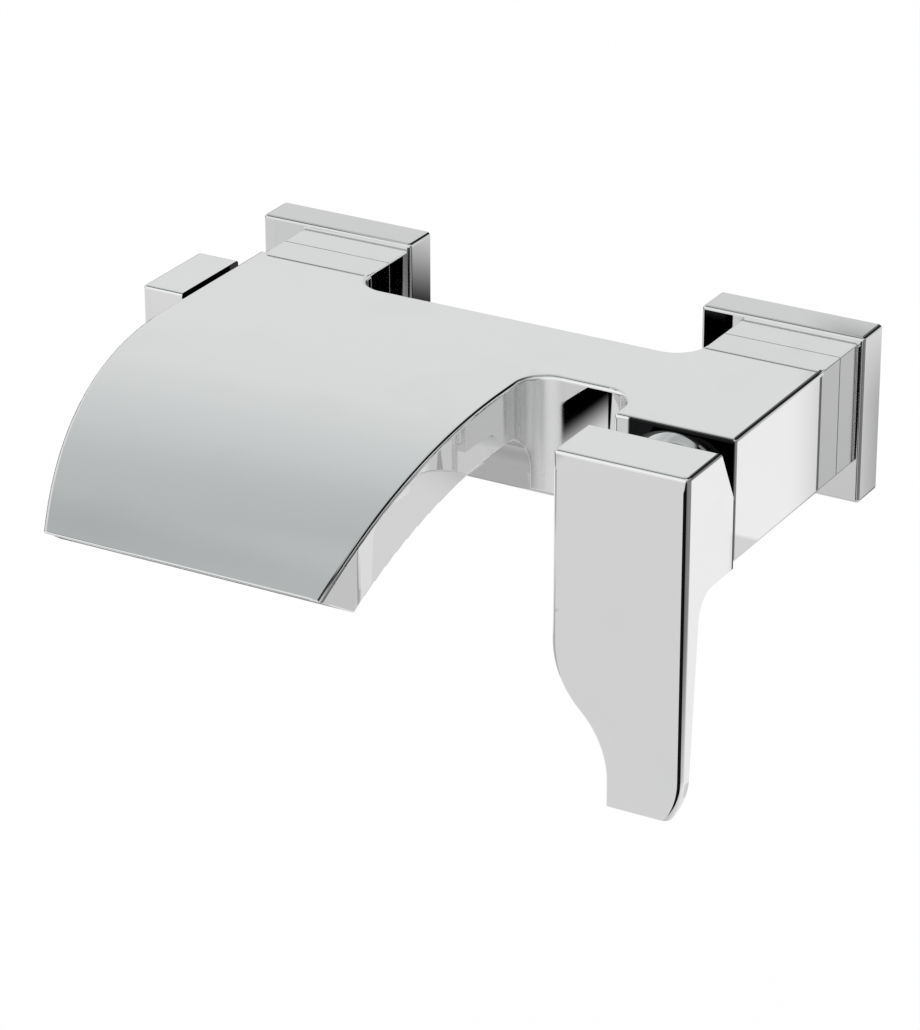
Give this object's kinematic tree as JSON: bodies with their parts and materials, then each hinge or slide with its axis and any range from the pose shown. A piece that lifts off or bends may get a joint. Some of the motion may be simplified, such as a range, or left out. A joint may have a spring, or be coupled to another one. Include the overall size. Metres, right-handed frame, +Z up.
{
  "type": "bath mixer tap",
  "caption": "Wall-mounted lever bath mixer tap with a wide falling spout, a side diverter knob, square wall flanges and a ceramic-disc valve, in polished chrome.",
  "frame": {"origin": "on the wall plane, midway between the axes of the two supply inlets", "axes": "+X right along the wall, +Y into the wall along the inlets, +Z up"},
  "size_m": [0.2118, 0.199, 0.1129],
  "materials": {
    "chrome": "mirror-polished chrome plate on brass",
    "brass": "turned brass",
    "steel": "plain stainless steel",
    "rubber": "black sealing rubber",
    "ceramic": "lapped white ceramic",
    "plastic": "grey moulded plastic"
  },
  "bodies": {
    "tap": {"mixer_body": "chrome", "spout_base_plate": "chrome", "left_wall_flange": "chrome", "right_wall_flange": "chrome", "left_nut_cover": "chrome", "right_nut_cover": "chrome", "valve_dome": "chrome", "shower_outlet": "chrome", "left_union": "brass", "right_union": "brass", "left_union_nut": "brass", "right_union_nut": "brass", "left_inlet_nipple": "brass", "right_inlet_nipple": "brass", "cartridge_nut": "brass", "diverter_bush": "brass", "left_filter_washer": "rubber", "right_filter_washer": "rubber", "port_seals": "rubber", "bush_seal": "rubber", "outlet_seal": "rubber", "fixed_disc": "ceramic", "diverter_seat": "ceramic", "outlet_strip": "plastic", "cartridge_base": "plastic", "cartridge_housing": "plastic"},
    "valve_fork": {"valve_carrier": "plastic", "pivot_pin": "steel"},
    "lever": {"lever_handle": "chrome", "lever_spindle": "brass", "lever_grub_screw": "steel", "lever_plug": "plastic"},
    "disc": {"moving_disc": "ceramic"},
    "diverter": {"diverter_knob": "chrome", "diverter_spindle": "brass", "spindle_seals": "rubber", "diverter_rotor": "ceramic", "knob_grub_screw": "steel"}
  },
  "joints": [
    {"name": "lever_turn", "type": "hinge", "parent": "tap", "child": "valve_fork", "pos_m": [0.075, -0.074, 0], "axis": [0, -1, 0], "range_deg": [-45, 45]},
    {"name": "lever_lift", "type": "hinge", "parent": "valve_fork", "child": "lever", "pos_m": [0.075, -0.074, 0], "axis": [-1, 0, 0], "range_deg": [0, 22]},
    {"name": "disc_slide", "type": "slide", "parent": "valve_fork", "child": "disc", "axis": [0, 0, 1], "range_m": [-0.0036, 0]},
    {"name": "diverter_turn", "type": "hinge", "parent": "tap", "child": "diverter", "pos_m": [-0.1, -0.0488, 0], "axis": [-1, 0, 0], "range_deg": [0, 90]}
  ],
  "couplings": [
    {"joint": "disc_slide", "follows": "lever_lift", "m_per_rad": -0.0092}
  ]
}
